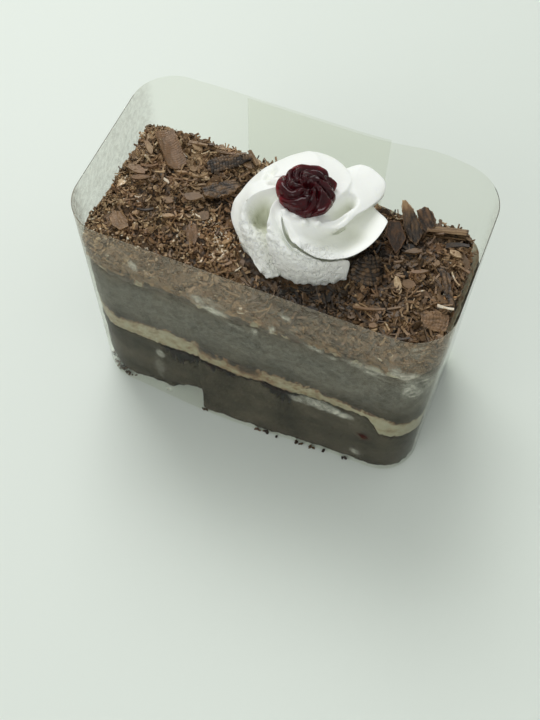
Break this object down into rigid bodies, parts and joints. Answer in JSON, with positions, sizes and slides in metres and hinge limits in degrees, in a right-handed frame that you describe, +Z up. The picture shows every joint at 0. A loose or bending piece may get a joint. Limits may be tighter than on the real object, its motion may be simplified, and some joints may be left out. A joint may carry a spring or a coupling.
{
  "type": "black forest cake slice",
  "caption": "Black forest cake slice in a clear film collar: chocolate sponge, cream and cherry layers under chocolate shavings, with a piped cream rosette and cherry topping.",
  "frame": {"origin": "middle of the collar's footprint, on the surface the slice stands on", "axes": "+X along the slice's long side, +Y from the cut front face to the back, +Z up"},
  "size_m": [0.1006, 0.0588, 0.0833],
  "materials": {
    "clear_film": "clear thin film, glossy, with faint cream smears",
    "chocolate_sponge": "dark open-crumb sponge cake, matt",
    "cherry_filling": "dark wet cherry filling",
    "layer_cream": "set cream with brown stains, satin",
    "chocolate": "shaved chocolate, satin",
    "whipped_cream": "piped whipped cream, soft satin",
    "cherry_jelly": "glossy translucent cherry jelly"
  },
  "bodies": {
    "root": {"film_collar": "clear_film", "sponge_lower": "chocolate_sponge", "cherry_filling": "cherry_filling", "cream_middle": "layer_cream", "sponge_upper": "chocolate_sponge", "cream_top": "layer_cream", "chocolate_shavings": "chocolate", "flake_ridged": "chocolate", "bark_back": "chocolate", "bark_front": "chocolate", "curl_small": "chocolate", "flake_left": "chocolate", "flake_middle": "chocolate", "fan_curl": "chocolate", "shard_left": "chocolate", "shard_tall": "chocolate", "shard_round": "chocolate", "curl_log": "chocolate", "splinter_right": "chocolate", "flake_corner": "chocolate", "cream_rosette": "whipped_cream", "cherry_topping": "cherry_jelly"}
  },
  "joints": []
}
